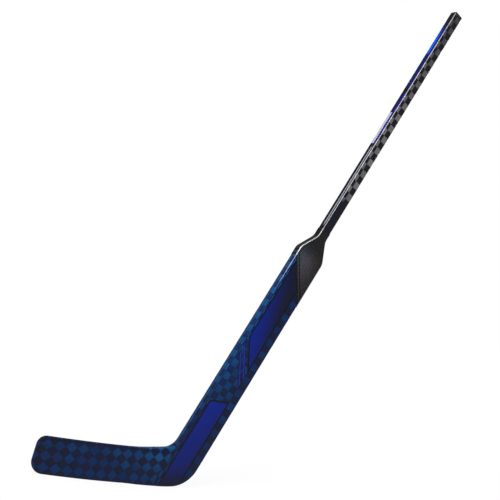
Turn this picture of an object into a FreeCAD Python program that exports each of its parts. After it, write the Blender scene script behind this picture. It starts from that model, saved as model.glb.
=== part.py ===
"""Hockey goalie stick: laminated blade and paddle on foam, hollow shaft and a removable butt plug.

The stick stands as it is played: sole on z = 0, toe towards -X, shaft rising towards +X, thickness along Y.
The origin is on the flat sole, in the paddle's middle plane, just toe-ward of the rounded heel.
"""
import FreeCAD, Part
import math
import os
import Sketcher
from FreeCAD import Placement, Rotation, Vector

# Driving dimensions in millimetres and degrees: alias, value, meaning
DIMENSIONS = (
    ("lie_angle", "113.6", "angle between sole and shaft, measured in the crotch"),
    ("stick_length", "1451", "heel corner to the top of the butt plug, along the shaft"),
    ("stick_thickness", "22.5", "paddle, shoulder and shaft, front to back"),
    ("edge_round", "3.5", "rounding of the edges of blade, paddle, shoulder and shaft"),
    ("heel_setback", "80", "origin to the heel corner, along the sole"),
    ("blade_length", "390", "heel corner to the toe corner, along the sole"),
    ("blade_height", "85.2", "sole to top edge"),
    ("blade_thickness", "10.5", "blade just past the taper from the paddle"),
    ("toe_thickness", "9.2", "blade at the toe"),
    ("blade_curve", "28", "sweep of the front face towards the back, at the toe"),
    ("bend_reach", "85", "end of the taper to the corner that the sweep rounds"),
    ("joint_setback", "116", "heel corner to the joint of blade and paddle, along the sole"),
    ("taper_length", "60", "stretch over which the paddle thins to the blade"),
    ("heel_round", "75", "radius of the heel"),
    ("heel_rise_start", "66", "heel corner to where the sole starts to rise"),
    ("heel_rise_angle", "4.5", "rise of the sole towards the heel"),
    ("sole_blend", "300", "radius between the flat sole and its rise"),
    ("toe_lower_round", "28", "radius of the toe at the sole"),
    ("toe_upper_round", "22", "radius of the toe at the top edge"),
    ("toe_slope_angle", "5", "backward lean of the toe edge"),
    ("crown_start", "130", "heel corner to where the top edge starts to rise"),
    ("crown_rise_angle", "5.5", "rise of the top edge towards the crotch"),
    ("crown_blend", "300", "radius between the level top edge and its rise"),
    ("crotch_round", "40", "radius between blade and paddle"),
    ("paddle_width", "84", "paddle across its face"),
    ("shaft_foot", "709", "heel corner to the lower end of the shaft tube"),
    ("neck_length", "10", "shaft width between the shoulder and the shaft tube"),
    ("shoulder_length", "51", "stretch over which the paddle narrows to the shaft"),
    ("shoulder_end", "=shaft_foot - neck_length", "heel corner to where the shoulder reaches shaft width"),
    ("shoulder_start", "=shoulder_end - shoulder_length", "heel corner to the end of the full paddle width"),
    ("shoulder_round", "30", "radii at both ends of the shoulder"),
    ("shaft_width", "28", "shaft across its face"),
    ("shaft_wall", "2.2", "wall of the shaft tube"),
    ("bore_round", "2", "corner radius of the shaft bore"),
    ("edge_width", "7", "width of the laminate rim and rails"),
    ("skin_thickness", "1.2", "face laminates"),
    ("rib_height", "6", "carbon bridge in the blade"),
    ("rib_middle", "=blade_height / 2", "sole to the middle of the bridge"),
    ("tongue_height", "28", "heel tongue at the joint of blade and paddle"),
    ("tongue_reach", "110", "heel tongue inside the spine"),
    ("spine_foot", "70", "heel corner to the lower end of the spine"),
    ("bond_gap", "0.1", "glue gap round the tenon and the tongue"),
    ("tenon_wall", "2.5", "wall of the shaft tenon"),
    ("tenon_in_paddle", "120", "tenon below the shoulder"),
    ("tenon_in_shaft", "100", "tenon inside the shaft"),
    ("tenon_chamfer", "0.8", "lead-in at the tenon's ends"),
    ("tenon_bore_round", "0.8", "corner radius inside the tenon"),
    ("grip_thickness", "0.9", "rubber cover on the shoulder"),
    ("grip_gap", "0.05", "glue film under the rubber cover"),
    ("grip_lap", "14", "cover above the foot of the shaft tube"),
    ("grip_drop", "25", "cover below the shoulder, at the toe-side edge"),
    ("grip_slant", "104", "further drop of the cover towards the heel-side edge"),
    ("grip_top", "=shaft_foot + grip_lap", "heel corner to the cover's upper end"),
    ("grip_foot_toe_side", "=shoulder_start - grip_drop", "heel corner to the cover's lower end, toe side"),
    ("grip_foot_heel_side", "=grip_foot_toe_side - grip_slant", "the same at the heel side"),
    ("plug_cap", "7", "plug cap above the shaft tube"),
    ("plug_crown", "2", "bevel of the cap's top edge"),
    ("plug_spigot", "46", "plug inside the shaft bore"),
    ("plug_core_inset", "2.4", "plug core behind its barbs, each side"),
    ("plug_barb", "2.5", "thickness of a barb"),
    ("plug_barb_pitch", "10", "barb to barb"),
    ("plug_clearance", "0.3", "barb to shaft bore"),
    ("overrun", "20", "how far cutting shapes run past what they cut"),
)
BARB_COUNT = 4

doc = FreeCAD.newDocument("goalie_stick")
sheet = doc.addObject("Spreadsheet::Sheet", "sizes")
for row, (alias, number, meaning) in enumerate(DIMENSIONS, start=1):
    sheet.set(f"A{row}", alias)
    sheet.set(f"B{row}", number)
    sheet.set(f"C{row}", meaning)
    sheet.setAlias(f"B{row}", alias)
doc.recompute()


def size(alias):
    """A driving dimension, read from the sheet."""
    return float(getattr(sheet, alias))


# Directions and stations of the stick
Y_AXIS = Vector(0, 1, 0)
Z_AXIS = Vector(0, 0, 1)
LEAN = size("lie_angle") - 90
UP_SHAFT = Rotation(Y_AXIS, LEAN).multVec(Z_AXIS)
TO_TOE_SIDE = Rotation(Y_AXIS, LEAN).multVec(Vector(-1, 0, 0))
HEEL_CORNER = Vector(size("heel_setback"), 0, 0)
HALF_PADDLE = size("paddle_width") / 2
HALF_SHAFT = size("shaft_width") / 2
HALF_THICKNESS = size("stick_thickness") / 2
SPINE_WIDTH = "sizes.shaft_width"
BORE_WIDTH = "sizes.shaft_width - 2 * sizes.shaft_wall"
BORE_DEPTH = "sizes.stick_thickness - 2 * sizes.shaft_wall"
JOINT_X = size("heel_setback") - size("joint_setback")
BLADE_X = JOINT_X - size("taper_length")
TOE_X = size("heel_setback") - size("blade_length")
BEND_X = BLADE_X - size("bend_reach")
SWEEP_ANGLE = math.degrees(math.atan(size("blade_curve") / (BEND_X - TOE_X)))
TO_TOE = Rotation(Z_AXIS, -SWEEP_ANGLE).multVec(Vector(-1, 0, 0))
TOE_NORMAL = Rotation(Z_AXIS, -SWEEP_ANGLE).multVec(Y_AXIS)
TOE_FOOT = Vector(TOE_X, size("blade_curve") - size("blade_thickness") / 2, 0)


def sole_point(toe_ward, up):
    """Point of the middle plane, measured from the heel corner along the sole and up."""
    return HEEL_CORNER + Vector(-toe_ward, 0, up)


def paddle_point(along, across):
    """Point of the middle plane: up the shaft from the heel corner, across from its axis to the toe side."""
    return HEEL_CORNER + UP_SHAFT * along + TO_TOE_SIDE * (HALF_PADDLE + across)


def toe_point(heel_ward, up):
    """Point of the swept front face: from the toe back along the straight end of the blade, and up."""
    return TOE_FOOT - TO_TOE * heel_ward + Z_AXIS * up


def axis_placement(along):
    """Frame on the shaft's axis: local Z up the shaft, local Y the thickness."""
    return Placement(paddle_point(along, 0), Rotation(Y_AXIS, LEAN))


def slope(degrees, heading):
    """Direction in the middle plane that heads along X and rises by the given angle."""
    return Vector(heading * math.cos(math.radians(degrees)), 0, math.sin(math.radians(degrees)))


def meet(point, direction, other_point, other_direction):
    """Where two lines of the middle plane cross."""
    gap = other_point - point
    turn = direction.x * other_direction.z - direction.z * other_direction.x
    reach = (gap.x * other_direction.z - gap.z * other_direction.x) / turn
    return point + direction * reach


def rounded_loop(corners):
    """Closed wire through (point, radius) corners, each rounded by an arc tangent to both sides."""
    edges = []
    count = len(corners)
    ends = []
    for index, (point, radius) in enumerate(corners):
        to_last = (corners[index - 1][0] - point).normalize()
        to_next = (corners[(index + 1) % count][0] - point).normalize()
        half = to_last.getAngle(to_next) / 2
        start = point + to_last * (radius / math.tan(half))
        end = point + to_next * (radius / math.tan(half))
        middle = point + (to_last + to_next).normalize() * (radius / math.sin(half) - radius)
        ends.append((start, middle, end))
    for index, (start, middle, end) in enumerate(ends):
        if corners[index][1] > 0:
            edges.append(Part.Arc(start, middle, end).toShape())
        edges.append(Part.LineSegment(end, ends[(index + 1) % count][0]).toShape())
    return Part.Wire(edges)


def grown_corners(corners, growth, normal):
    """Corners of a rounded loop grown in its own plane, or shrunk where the growth is negative."""
    points = [point for point, _ in corners]
    following = points[1:] + points[:1]
    area = sum((a - points[0]).cross(b - points[0]).dot(normal) for a, b in zip(points, following))
    turned = normal * math.copysign(1, area)
    sides = [(b - a).normalize() for a, b in zip(points, following)]
    grown = []
    for index, (point, radius) in enumerate(corners):
        first = sides[index - 1].cross(turned)
        second = sides[index].cross(turned)
        shift = (first + second) * (growth / (1 + first.dot(second)))
        convex = sides[index - 1].cross(sides[index]).dot(turned) > 0
        bulge = growth if convex else -growth
        grown.append((point + shift, radius + bulge if radius else 0))
    return grown


def feature(name, shape):
    """Document object that holds a shape made here."""
    made = doc.addObject("Part::Feature", name)
    made.Shape = shape
    return made


def loop_face(name, corners):
    """Flat face inside a rounded loop."""
    return feature(name, Part.Face(rounded_loop(corners)))


def prism(name, base, direction, length, both_ways=False):
    """Extrusion of a planar face, its length bound to the sheet."""
    made = doc.addObject("Part::Extrusion", name)
    made.Base = base
    made.DirMode = "Custom"
    made.Dir = direction
    made.Solid = True
    made.Symmetric = both_ways
    made.setExpression("LengthFwd", length)
    return made


def common(name, *shapes):
    """What several objects share."""
    made = doc.addObject("Part::MultiCommon", name)
    made.Shapes = list(shapes)
    return made


def cut(name, base, tool):
    """One object less another."""
    made = doc.addObject("Part::Cut", name)
    made.Base = base
    made.Tool = tool
    return made


def rim_edges(shape, kept_normal):
    """Numbers of the edges between faces and sides of a flat form, but not at an end of that normal."""
    chosen = []
    for index, edge in enumerate(shape.Edges, start=1):
        middle = edge.valueAt((edge.FirstParameter + edge.LastParameter) / 2)
        normals = []
        for side in shape.ancestorsOfType(edge, Part.Face):
            u, v = side.Surface.parameter(middle)
            normals.append(side.normalAt(u, v))
        flat = [normal for normal in normals if abs(normal.y) > math.sin(math.radians(45))]
        upright = [normal for normal in normals if abs(normal.y) < math.sin(math.radians(45))]
        at_end = any(abs(normal.dot(kept_normal)) > math.cos(math.radians(1)) for normal in upright)
        if len(flat) == 1 and len(upright) == 1 and not at_end:
            chosen.append(index)
    return chosen


def trim_rim(kind, name, base, amount):
    """Fillet or chamfer of the whole rim of a flat form, apart from its end towards the butt."""
    doc.recompute()
    made = doc.addObject(kind, name)
    made.Base = base
    made.Edges = [(index, amount, amount) for index in rim_edges(base.Shape, UP_SHAFT)]
    return made


def outermost(shape, direction):
    """The solid of a compound that lies furthest along a direction."""
    return max(shape.Solids, key=lambda solid: solid.CenterOfMass.dot(direction))


# Outline of blade, paddle and shoulder in the middle plane, the blade running on past its toe
HEEL_RISE = slope(size("heel_rise_angle"), 1)
CROWN_RISE = slope(size("crown_rise_angle"), 1)
RISE_CORNER = sole_point(size("heel_rise_start"), 0)
CROWN_CORNER = sole_point(size("crown_start"), size("blade_height"))
TOE_LEAN = size("blade_height") * math.tan(math.radians(size("toe_slope_angle")))
PAST_TOE = size("blade_length") + size("overrun")


def shoulder_side(side):
    """Corners of one shoulder from the paddle up to the shaft, at the toe side (1) or the heel side (-1)."""
    return [
        (paddle_point(size("shoulder_start"), side * HALF_PADDLE), size("shoulder_round")),
        (paddle_point(size("shoulder_end"), side * HALF_SHAFT), size("shoulder_round")),
    ]


outline_corners = [
    (meet(RISE_CORNER, HEEL_RISE, HEEL_CORNER, UP_SHAFT), size("heel_round")),
    (RISE_CORNER, size("sole_blend")),
    (sole_point(PAST_TOE, 0), 0),
    (sole_point(PAST_TOE, size("blade_height")), 0),
    (CROWN_CORNER, size("crown_blend")),
    (meet(CROWN_CORNER, CROWN_RISE, paddle_point(0, HALF_PADDLE), UP_SHAFT), size("crotch_round")),
    *shoulder_side(1),
    (paddle_point(size("shaft_foot"), HALF_SHAFT), 0),
    (paddle_point(size("shaft_foot"), -HALF_SHAFT), 0),
    *reversed(shoulder_side(-1)),
]


# What is cut away round the toe, square to the blade's swept face
LOW_Z = -size("overrun")
HIGH_Z = size("blade_height") + size("paddle_width")
TOE_SPAN = size("toe_lower_round") + size("toe_upper_round") + TOE_LEAN
toe_waste_corners = [
    (toe_point(0, 0), size("toe_lower_round")),
    (toe_point(TOE_LEAN, size("blade_height")), size("toe_upper_round")),
    (toe_point(TOE_SPAN, size("blade_height")), 0),
    (toe_point(TOE_SPAN, HIGH_Z), 0),
    (toe_point(-size("paddle_width"), HIGH_Z), 0),
    (toe_point(-size("paddle_width"), LOW_Z), 0),
    (toe_point(TOE_SPAN, LOW_Z), 0),
    (toe_point(TOE_SPAN, 0), 0),
]


# Plan of the thickness: level at the paddle, an S through the taper, a bend, then straight to the toe
def face_curve(side, inset):
    """Edges of the front (-1) or back (1) face seen from above, from the paddle to past the toe."""
    paddle_y = side * HALF_THICKNESS
    blade_y = side * size("blade_thickness") / 2
    step = abs(paddle_y - blade_y)
    bend = (size("taper_length") ** 2 + step ** 2) / (4 * step)
    half_turn = math.asin(size("taper_length") / (2 * bend))
    sweep = math.radians(SWEEP_ANGLE)
    toe_face = TOE_FOOT + TOE_NORMAL * size("toe_thickness") * (1 + side) / 2
    corner_reach = BLADE_X - toe_face.x - (toe_face.y - blade_y) / math.tan(sweep)
    turn = corner_reach / math.tan(sweep / 2)
    far_x = paddle_point(size("shaft_foot"), -HALF_PADDLE).x
    level = Part.LineSegment(
        Vector(far_x, paddle_y - side * inset, 0),
        Vector(JOINT_X, paddle_y - side * inset, 0),
    ).toShape()
    inner = arc_of(Vector(JOINT_X, paddle_y - side * bend, 0), bend - inset, side, 0, half_turn)
    outer = arc_of(Vector(BLADE_X, blade_y + side * bend, 0), bend + inset, -side, -half_turn, 0)
    swept = arc_of(Vector(BLADE_X, blade_y + turn, 0), turn + side * inset, -1, 0, sweep)
    past_toe = toe_face - TOE_NORMAL * side * inset + TO_TOE * 2 * size("overrun")
    straight = Part.LineSegment(swept.Vertexes[-1].Point, past_toe).toShape()
    return [level, inner, outer, swept, straight]


def arc_of(centre, radius, side, first, last):
    """Arc seen from above, at the +Y (1) or -Y (-1) side of its centre, turning towards the toe."""
    points = []
    for turn in (first, (first + last) / 2, last):
        points.append(centre + Vector(-radius * math.sin(turn), side * radius * math.cos(turn), 0))
    return Part.Arc(*points).toShape()


def plan_face(name, first_curve, second_curve):
    """Face between two face curves, set below the sole so that a prism of it runs through the stick."""
    heel_end = Part.LineSegment(second_curve[0].Vertexes[0].Point, first_curve[0].Vertexes[0].Point).toShape()
    first_tip = first_curve[-1].Vertexes[-1].Point
    second_tip = second_curve[-1].Vertexes[-1].Point
    toe_end = Part.LineSegment(first_tip, second_tip).toShape()
    face = Part.Face(Part.Wire(Part.__sortEdges__(first_curve + second_curve + [heel_end, toe_end])))
    face.translate(Vector(0, 0, -size("overrun")))
    return feature(name, face)


FORM_DEPTH = "4 * sizes.stick_thickness + 2 * sizes.blade_curve"
FORM_HEIGHT = "sizes.shaft_foot + sizes.paddle_width + 2 * sizes.overrun"
SKIN = size("skin_thickness")
plan = plan_face("plan", face_curve(-1, 0), face_curve(1, 0))
plan_front = plan_face("plan_front", face_curve(-1, 0), face_curve(-1, SKIN))
plan_back = plan_face("plan_back", face_curve(1, 0), face_curve(1, SKIN))
plan_core = plan_face("plan_core", face_curve(-1, SKIN), face_curve(1, SKIN))

# The whole moulding, with its rounded rim
outline = loop_face("outline", outline_corners)
outline_prism = prism("outline_prism", outline, Y_AXIS, FORM_DEPTH, both_ways=True)
plan_prism = prism("plan_prism", plan, Z_AXIS, FORM_HEIGHT)
toe_waste_face = loop_face("toe_waste_face", toe_waste_corners)
toe_waste = prism("toe_waste", toe_waste_face, TOE_NORMAL, FORM_DEPTH, both_ways=True)
sharp_form = cut("sharp_form", common("blank", outline_prism, plan_prism), toe_waste)
sharp_form.Refine = True
form = trim_rim("Part::Fillet", "form", sharp_form, size("edge_round"))

# Regions that divide the moulding: inside the rim, then blade, paddle and shoulder
RIM = size("edge_width")
field_face = loop_face("field_face", grown_corners(outline_corners, -RIM, Y_AXIS))
field_prism = prism("field_prism", field_face, Y_AXIS, FORM_DEPTH, both_ways=True)
field_waste_face = loop_face("field_waste_face", grown_corners(toe_waste_corners, RIM, TOE_NORMAL))
field_waste = prism("field_waste", field_waste_face, TOE_NORMAL, FORM_DEPTH, both_ways=True)
field = cut("field", field_prism, field_waste)
field.Refine = True
front_layer = prism("front_layer", plan_front, Z_AXIS, FORM_HEIGHT)
back_layer = prism("back_layer", plan_back, Z_AXIS, FORM_HEIGHT)
core_layer = prism("core_layer", plan_core, Z_AXIS, FORM_HEIGHT)


def region(name, points):
    """Prism through the stick's thickness over a polygon of the middle plane."""
    base = feature(name + "_face", Part.Face(Part.makePolygon(points + points[:1])))
    return prism(name, base, Y_AXIS, FORM_DEPTH, both_ways=True)


CLEAR = size("overrun")
joint_foot = Vector(JOINT_X, 0, LOW_Z)
joint_head = Vector(JOINT_X, 0, HIGH_Z)
heel_side = -HALF_PADDLE - CLEAR
toe_side = HALF_PADDLE + CLEAR
blade_region = region("blade_region", [
    joint_foot,
    joint_head,
    Vector(TOE_X - CLEAR, 0, HIGH_Z),
    Vector(TOE_X - CLEAR, 0, LOW_Z),
])
paddle_region = region("paddle_region", [
    joint_foot,
    joint_head,
    paddle_point(size("shoulder_start"), toe_side),
    paddle_point(size("shoulder_start"), heel_side),
    Vector(HEEL_CORNER.x + CLEAR, 0, LOW_Z),
])
shoulder_region = region("shoulder_region", [
    paddle_point(size("shoulder_start"), toe_side),
    paddle_point(size("shoulder_start"), heel_side),
    paddle_point(size("shaft_foot"), heel_side),
    paddle_point(size("shaft_foot"), toe_side),
])

# Skins
blade_front_skin = common("blade_front_skin", form, field, front_layer, blade_region)
blade_back_skin = common("blade_back_skin", form, field, back_layer, blade_region)
paddle_front_skin = common("paddle_front_skin", form, field, front_layer, paddle_region)
paddle_back_skin = common("paddle_back_skin", form, field, back_layer, paddle_region)

# Rim of the blade and rails of the paddle
rim = cut("rim", form, field)
blade_edge_wrap = common("blade_edge_wrap", rim, blade_region)
rails = common("rails", rim, paddle_region)
doc.recompute()
paddle_toe_rail = feature("paddle_toe_rail", outermost(rails.Shape, TO_TOE_SIDE))
paddle_heel_rail = feature("paddle_heel_rail", outermost(rails.Shape, -TO_TOE_SIDE))


# Parts made on the shaft's axis
def origin_plane(body, role):
    """One of a body's own origin planes."""
    return next(plane for plane in body.Origin.OriginFeatures if plane.Role == role)


def rectangle(body, name, width, depth):
    """Rectangle on the body's XY plane, centred, its sides bound to the sheet."""
    sketch = body.newObject("Sketcher::SketchObject", name)
    sketch.AttachmentSupport = [(origin_plane(body, "XY_Plane"), "")]
    sketch.MapMode = "FlatFace"
    half_width = sheet.evalExpression(width) / 2
    half_depth = sheet.evalExpression(depth) / 2
    corners = [
        Vector(-half_width, -half_depth, 0),
        Vector(half_width, -half_depth, 0),
        Vector(half_width, half_depth, 0),
        Vector(-half_width, half_depth, 0),
    ]
    for index in range(4):
        sketch.addGeometry(Part.LineSegment(corners[index], corners[(index + 1) % 4]), False)
    for index in range(4):
        sketch.addConstraint(Sketcher.Constraint("Coincident", index, 2, (index + 1) % 4, 1))
    for index, kind in enumerate(("Horizontal", "Vertical", "Horizontal", "Vertical")):
        sketch.addConstraint(Sketcher.Constraint(kind, index))
    sketch.addConstraint(Sketcher.Constraint("Symmetric", 0, 1, 2, 1, -1, 1))
    across = sketch.addConstraint(Sketcher.Constraint("DistanceX", 0, 1, 0, 2, 2 * half_width))
    deep = sketch.addConstraint(Sketcher.Constraint("DistanceY", 1, 1, 1, 2, 2 * half_depth))
    sketch.setExpression(f"Constraints[{across}]", width)
    sketch.setExpression(f"Constraints[{deep}]", depth)
    return sketch


def pad(body, name, sketch, length, downward=False):
    """Pad along the shaft, its length bound to the sheet."""
    made = body.newObject("PartDesign::Pad", name)
    made.Profile = sketch
    made.Reversed = downward
    made.setExpression("Length", length)
    doc.recompute()
    return made


def bore(body, name, sketch):
    """Pocket along the shaft through all of the body."""
    made = body.newObject("PartDesign::Pocket", name)
    made.Profile = sketch
    made.Type = "ThroughAll"
    made.Midplane = True
    doc.recompute()
    return made


def edges_along(base, direction, fits=None):
    """Names of a feature's straight edges along a direction, of those that fit a test of their middle."""
    names = []
    for index, edge in enumerate(base.Shape.Edges, start=1):
        if edge.Curve.TypeId != "Part::GeomLine":
            continue
        if abs(edge.tangentAt(edge.FirstParameter).dot(direction)) < math.cos(math.radians(1)):
            continue
        if fits is None or fits(edge.CenterOfMass):
            names.append(f"Edge{index}")
    return names


def end_faces(base):
    """Names of the faces square to the shaft, lowest first."""
    heights = {}
    for index, face in enumerate(base.Shape.Faces, start=1):
        if abs(face.normalAt(0, 0).dot(Z_AXIS)) > math.cos(math.radians(1)):
            heights[f"Face{index}"] = face.CenterOfMass.z
    return sorted(heights, key=heights.get)


def dress(body, kind, name, base, names, prop, amount):
    """Fillet or chamfer of named edges, its size bound to the sheet."""
    made = body.newObject(kind, name)
    made.Base = (base, names)
    made.setExpression(prop, amount)
    doc.recompute()
    return made


def bar(name, along, width, depth, length, corner):
    """Body with one rectangular pad up the shaft from a station, its long corners rounded."""
    body = doc.addObject("PartDesign::Body", name)
    body.Label = name
    sketch = rectangle(body, name + "_section", width, depth)
    grown = pad(body, name + "_pad", sketch, length)
    long_edges = edges_along(grown, Z_AXIS)
    rounded = dress(body, "PartDesign::Fillet", name + "_corners", grown, long_edges, "Radius", corner)
    body.Placement = axis_placement(along)
    return body, rounded


def hollow(name, body, width, depth, corner):
    """Bore of a bar, with rounded corners."""
    was = body.Shape.Volume
    inner = rectangle(body, name + "_bore_section", width, depth)
    half_width = sheet.evalExpression(width) / 2
    opened = bore(body, name + "_bore", inner)
    assert body.Shape.Volume < was, name
    inside = edges_along(opened, Z_AXIS, lambda middle: abs(abs(middle.x) - half_width) < size("bond_gap"))
    return dress(body, "PartDesign::Fillet", name + "_bore_corners", opened, inside, "Radius", corner)


SHAFT_LENGTH = "sizes.stick_length - sizes.plug_cap - sizes.shaft_foot"
CORE_DEPTH = "sizes.stick_thickness - 2 * sizes.skin_thickness"
TENON_WIDTH = f"{BORE_WIDTH} - 2 * sizes.bond_gap"
TENON_DEPTH = f"{BORE_DEPTH} - 2 * sizes.bond_gap"
TENON_LENGTH = "sizes.shaft_foot - sizes.shoulder_start + sizes.tenon_in_paddle + sizes.tenon_in_shaft"

shaft_tube, _ = bar(
    "shaft_tube",
    size("shaft_foot"),
    "sizes.shaft_width",
    "sizes.stick_thickness",
    SHAFT_LENGTH,
    "sizes.edge_round",
)
hollow("shaft_tube", shaft_tube, BORE_WIDTH, BORE_DEPTH, "sizes.bore_round")

paddle_spine, _ = bar(
    "paddle_spine",
    size("spine_foot"),
    SPINE_WIDTH,
    CORE_DEPTH,
    "sizes.shoulder_start - sizes.spine_foot",
    "sizes.skin_thickness",
)
hollow("paddle_spine", paddle_spine, BORE_WIDTH, BORE_DEPTH, "sizes.bore_round")

shaft_tenon, tenon_outside = bar(
    "shaft_tenon",
    size("shoulder_start") - size("tenon_in_paddle"),
    TENON_WIDTH,
    TENON_DEPTH,
    TENON_LENGTH,
    "sizes.bore_round",
)
dress(
    shaft_tenon,
    "PartDesign::Chamfer",
    "shaft_tenon_lead_in",
    tenon_outside,
    end_faces(tenon_outside),
    "Size",
    "sizes.tenon_chamfer",
)
hollow(
    "shaft_tenon",
    shaft_tenon,
    f"{TENON_WIDTH} - 2 * sizes.tenon_wall",
    f"{TENON_DEPTH} - 2 * sizes.tenon_wall",
    "sizes.tenon_bore_round",
)

# Heel tongue: knuckle and lower arm between the skins, upper arm in the spine
RIB_MIDDLE = size("rib_middle")
HALF_RIB = size("rib_height") / 2
HALF_TONGUE = size("tongue_height") / 2
HALF_SPINE = sheet.evalExpression(SPINE_WIDTH) / 2


def tongue_edge(side):
    """Tip, bend and knee of the tongue's upper (1) or lower (-1) edge."""
    tip = Vector(BLADE_X, 0, RIB_MIDDLE + side * HALF_RIB)
    bend = Vector(JOINT_X, 0, RIB_MIDDLE + side * HALF_TONGUE)
    knee = meet(bend, Vector(1, 0, 0), paddle_point(0, side * HALF_SPINE), UP_SHAFT)
    return tip, bend, knee


upper_edge = tongue_edge(1)
lower_edge = tongue_edge(-1)
tongue_region = region("tongue_region", [
    *upper_edge,
    paddle_point(size("spine_foot"), HALF_SPINE),
    paddle_point(size("spine_foot"), -HALF_SPINE),
    *reversed(lower_edge),
])
tongue_knuckle = common("tongue_knuckle", tongue_region, core_layer)
tongue_arm, _ = bar(
    "tongue_arm", size("spine_foot"), TENON_WIDTH, TENON_DEPTH, "sizes.tongue_reach", "sizes.bore_round"
)
heel_tongue = doc.addObject("Part::Fuse", "heel_tongue")
heel_tongue.Base = tongue_knuckle
heel_tongue.Tool = tongue_arm

# Blade bridge and foam, paddle foam
rib_region = region("rib_region", [
    upper_edge[0],
    lower_edge[0],
    Vector(TOE_X - CLEAR, 0, RIB_MIDDLE - HALF_RIB),
    Vector(TOE_X - CLEAR, 0, RIB_MIDDLE + HALF_RIB),
])
inside = common("inside", form, field, core_layer)
blade_rib = common("blade_rib", inside, rib_region)
blade_inside = common("blade_inside", inside, blade_region)
blade_foam = cut("blade_foam", cut("blade_foam_slot", blade_inside, rib_region), tongue_region)
spine_region = region("spine_region", [
    paddle_point(size("spine_foot"), HALF_SPINE),
    paddle_point(size("spine_foot"), -HALF_SPINE),
    paddle_point(size("shaft_foot"), -HALF_SPINE),
    paddle_point(size("shaft_foot"), HALF_SPINE),
])
paddle_inside = common("paddle_inside", inside, paddle_region)
paddle_foam = cut("paddle_foam", cut("paddle_foam_slot", paddle_inside, spine_region), tongue_region)
doc.recompute()
blade_upper_core = feature("blade_upper_core", outermost(blade_foam.Shape, Z_AXIS))
blade_lower_core = feature("blade_lower_core", outermost(blade_foam.Shape, -Z_AXIS))
paddle_toe_core = feature("paddle_toe_core", outermost(paddle_foam.Shape, TO_TOE_SIDE))
paddle_heel_core = feature("paddle_heel_core", outermost(paddle_foam.Shape, -TO_TOE_SIDE))

# Shoulder and neck, grown for the rubber cover that follows them
TANGENT_BEVEL_SHARE = 2 - math.sqrt(2)
neck_corners = [
    (paddle_point(size("grip_foot_heel_side") - CLEAR, HALF_PADDLE), 0),
    *shoulder_side(1),
    (paddle_point(size("grip_top") + CLEAR, HALF_SHAFT), 0),
    (paddle_point(size("grip_top") + CLEAR, -HALF_SHAFT), 0),
    *reversed(shoulder_side(-1)),
    (paddle_point(size("grip_foot_heel_side") - CLEAR, -HALF_PADDLE), 0),
]


def neck_form(kind, name, growth, bevel_share):
    """Neck of the stick grown all round by a distance, its rim trimmed by a share of the grown rounding."""
    distance = sheet.evalExpression(growth)
    face = loop_face(name + "_face", grown_corners(neck_corners, distance, Y_AXIS))
    solid = prism(name + "_prism", face, Y_AXIS, f"sizes.stick_thickness + 2 * ({growth})", both_ways=True)
    return trim_rim(kind, name, solid, bevel_share * (size("edge_round") + distance))


# Shoulder hub with the tenon's socket, bevelled under the cover
hub = common("hub", neck_form("Part::Chamfer", "hub_form", "0", TANGENT_BEVEL_SHARE), shoulder_region)
socket, _ = bar(
    "socket", size("shoulder_start") - CLEAR, BORE_WIDTH, BORE_DEPTH, TENON_LENGTH, "sizes.bore_round"
)
shoulder_block = cut("shoulder_block", hub, socket)

# Rubber cover, round outside and bevelled inside
COVER_GROWTH = "sizes.grip_gap + sizes.grip_thickness"
cover_outside = neck_form("Part::Fillet", "cover_outside", COVER_GROWTH, 1)
cover_inside = neck_form("Part::Chamfer", "cover_inside", "sizes.grip_gap", TANGENT_BEVEL_SHARE)
cover_region = region("cover_region", [
    paddle_point(size("grip_foot_toe_side"), HALF_PADDLE),
    paddle_point(size("grip_foot_toe_side"), toe_side),
    paddle_point(size("grip_top"), toe_side),
    paddle_point(size("grip_top"), heel_side),
    paddle_point(size("grip_foot_heel_side"), heel_side),
    paddle_point(size("grip_foot_heel_side"), -HALF_PADDLE),
])
shoulder_grip = common("shoulder_grip", cut("cover_shell", cover_outside, cover_inside), cover_region)

# Butt plug: cap over the tube's end, core and barbs in the bore
PLUG_WIDTH = f"{BORE_WIDTH} - 2 * sizes.plug_clearance"
PLUG_DEPTH = f"{BORE_DEPTH} - 2 * sizes.plug_clearance"
end_plug, cap_corners = bar(
    "end_plug",
    size("stick_length") - size("plug_cap"),
    "sizes.shaft_width",
    "sizes.stick_thickness",
    "sizes.plug_cap",
    "sizes.edge_round",
)
cap_top = end_faces(cap_corners)[-1:]
dress(end_plug, "PartDesign::Chamfer", "end_plug_crown", cap_corners, cap_top, "Size", "sizes.plug_crown")
core_section = rectangle(
    end_plug,
    "end_plug_core_section",
    f"{PLUG_WIDTH} - 2 * sizes.plug_core_inset",
    f"{PLUG_DEPTH} - 2 * sizes.plug_core_inset",
)
pad(end_plug, "end_plug_core", core_section, "sizes.plug_spigot", downward=True)
barb_section = rectangle(end_plug, "end_plug_barb_section", PLUG_WIDTH, PLUG_DEPTH)
barb_section.setExpression("AttachmentOffset.Base.z", "-sizes.plug_barb_pitch")
barb = pad(end_plug, "end_plug_barb", barb_section, "sizes.plug_barb", downward=True)
barbs = end_plug.newObject("PartDesign::LinearPattern", "end_plug_barbs")
barbs.Originals = [barb]
barbs.Direction = (core_section, ["N_Axis"])
barbs.Reversed = True
barbs.setExpression("Length", f"{BARB_COUNT - 1} * sizes.plug_barb_pitch")
barbs.Occurrences = BARB_COUNT
end_plug.Tip = barbs
doc.recompute()
HALF_PLUG = sheet.evalExpression(PLUG_WIDTH) / 2
barb_edges = edges_along(barbs, Z_AXIS, lambda middle: abs(abs(middle.x) - HALF_PLUG) < size("bond_gap"))
dress(end_plug, "PartDesign::Chamfer", "end_plug_barb_corners", barbs, barb_edges, "Size", "sizes.bore_round")

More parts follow.
